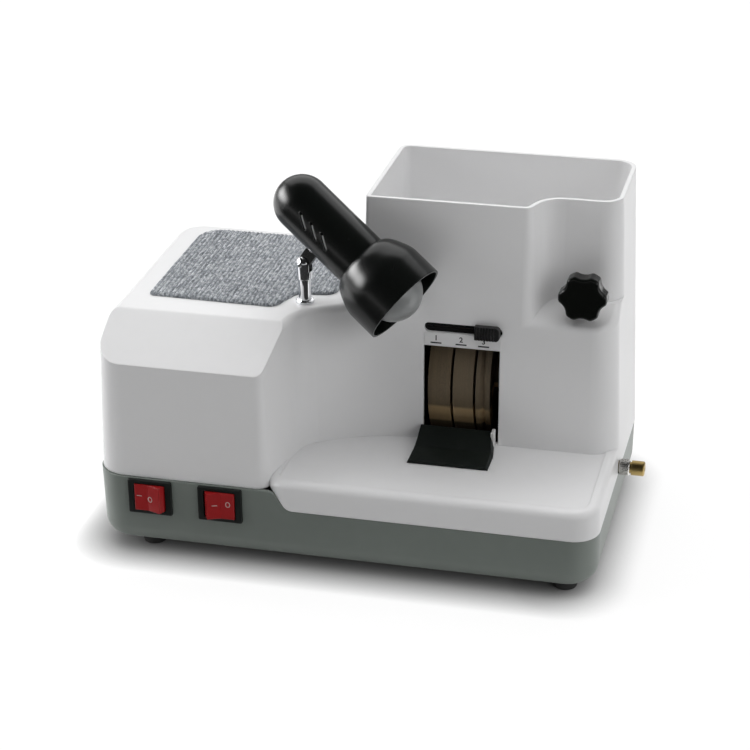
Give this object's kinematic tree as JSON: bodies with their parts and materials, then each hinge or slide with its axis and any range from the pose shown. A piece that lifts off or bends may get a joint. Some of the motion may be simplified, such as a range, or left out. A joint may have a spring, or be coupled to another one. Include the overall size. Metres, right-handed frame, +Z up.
{
  "type": "optical lens edger",
  "caption": "Bench lens edger: water-cooled grinding wheels behind a window, sloping hood with mat, open water tank, jointed lamp, rocker switches and drain.",
  "frame": {"origin": "on the bench under the middle of the whole footprint, drain fitting included", "axes": "+Z up, -Y to the user, +X to the user's right, towards the drain; the spindle runs along X"},
  "size_m": [0.3639, 0.2196, 0.2554],
  "materials": {
    "apron": "matt black",
    "base": "satin dark grey moulding",
    "bezel": "black switch frame",
    "black_plastic": "black moulding",
    "brass": "turned brass",
    "bulb": "frosted glass",
    "capacitor": "plastic can",
    "cast": "bare casting",
    "chrome": "bright chrome",
    "clip": "white moulding",
    "copper": "bare brass",
    "core": "electrical steel",
    "cover": "satin light grey moulding",
    "feet": "matt black rubber",
    "grit_bevel": "bonded diamond, grooved",
    "grit_coarse": "bonded diamond, coarse",
    "grit_fine": "bonded diamond, fine",
    "holder": "white lampholder",
    "knob": "polished black",
    "lamp_black": "glossy black",
    "mat": "ribbed grey mat",
    "nickel": "nickel plate",
    "rocker": "glossy red",
    "screw": "plated steel",
    "seal": "lip seal",
    "shaft": "ground steel",
    "slider": "black, ribbed",
    "spacer": "turned",
    "tub": "black moulding",
    "tube": "bent tube"
  },
  "bodies": {
    "housing": {"top_cover": "cover", "base_tub": "base", "rubber_feet": "feet", "foot_screws": "screw", "cover_screws": "screw", "bench_mat": "mat", "motor_switch_frame": "bezel", "lamp_switch_frame": "bezel", "switch_blades": "copper", "motor_can": "cast", "motor_stator": "core", "motor_bells": "cast", "motor_bearings": "shaft", "motor_cradle": "cast", "cradle_screws": "screw", "motor_capacitor": "capacitor", "capacitor_clip": "cast", "splash_chamber": "tub", "shaft_seal": "seal", "drain_fitting": "brass", "drain_collar": "nickel", "drain_nut": "brass", "power_inlet": "black_plastic", "inlet_pins": "copper", "inlet_screws": "screw", "splash_apron": "apron", "apron_clip": "clip", "valve_body": "brass", "valve_nut": "nickel", "drip_rail": "tube", "lamp_post": "chrome", "post_nut": "nickel"},
    "spindle": {"motor_shaft": "shaft", "motor_rotor": "core", "rough_wheel": "grit_coarse", "fine_wheel": "grit_fine", "bevel_wheel": "grit_bevel", "wheel_spacers": "spacer", "outer_flange": "spacer", "spindle_nut": "nickel"},
    "motor_rocker": {"motor_switch_rocker": "rocker"},
    "lamp_rocker": {"lamp_switch_rocker": "rocker"},
    "selector": {"water_slider": "slider", "drip_chute": "black_plastic"},
    "water_knob": {"valve_knob": "knob", "valve_stem": "brass"},
    "lamp_swivel": {"lamp_knuckle": "chrome", "knuckle_pin": "chrome"},
    "lamp_head": {"lamp_body": "lamp_black", "lamp_shade": "lamp_black", "lamp_bulb": "bulb", "bulb_cap": "spacer", "bulb_holder": "holder"}
  },
  "joints": [
    {"name": "spindle_spin", "type": "hinge", "parent": "housing", "child": "spindle", "pos_m": [0.058, 0.044, 0.096], "axis": [1, 0, 0], "continuous": true},
    {"name": "motor_switch_rock", "type": "hinge", "parent": "housing", "child": "motor_rocker", "pos_m": [-0.1415, -0.102, 0.046], "axis": [0, 0, 1], "range_deg": [0, 20]},
    {"name": "lamp_switch_rock", "type": "hinge", "parent": "housing", "child": "lamp_rocker", "pos_m": [-0.0919, -0.102, 0.046], "axis": [0, 0, 1], "range_deg": [-20, 0]},
    {"name": "selector_slide", "type": "slide", "parent": "housing", "child": "selector", "axis": [1, 0, 0], "range_m": [-0.034, 0]},
    {"name": "water_knob_turn", "type": "hinge", "parent": "housing", "child": "water_knob", "pos_m": [0.1367, 0.01042, 0.1783], "axis": [0, -0.9994, 0.0349], "range_deg": [0, 360]},
    {"name": "lamp_pan", "type": "hinge", "parent": "housing", "child": "lamp_swivel", "pos_m": [-0.0517, -0.0236, 0.193], "axis": [0, 0, 1], "range_deg": [-90, 0]},
    {"name": "lamp_tilt", "type": "hinge", "parent": "lamp_swivel", "child": "lamp_head", "pos_m": [-0.0517, -0.0236, 0.193], "axis": [-0.3123, -0.95, 0], "range_deg": [0, 20]}
  ]
}
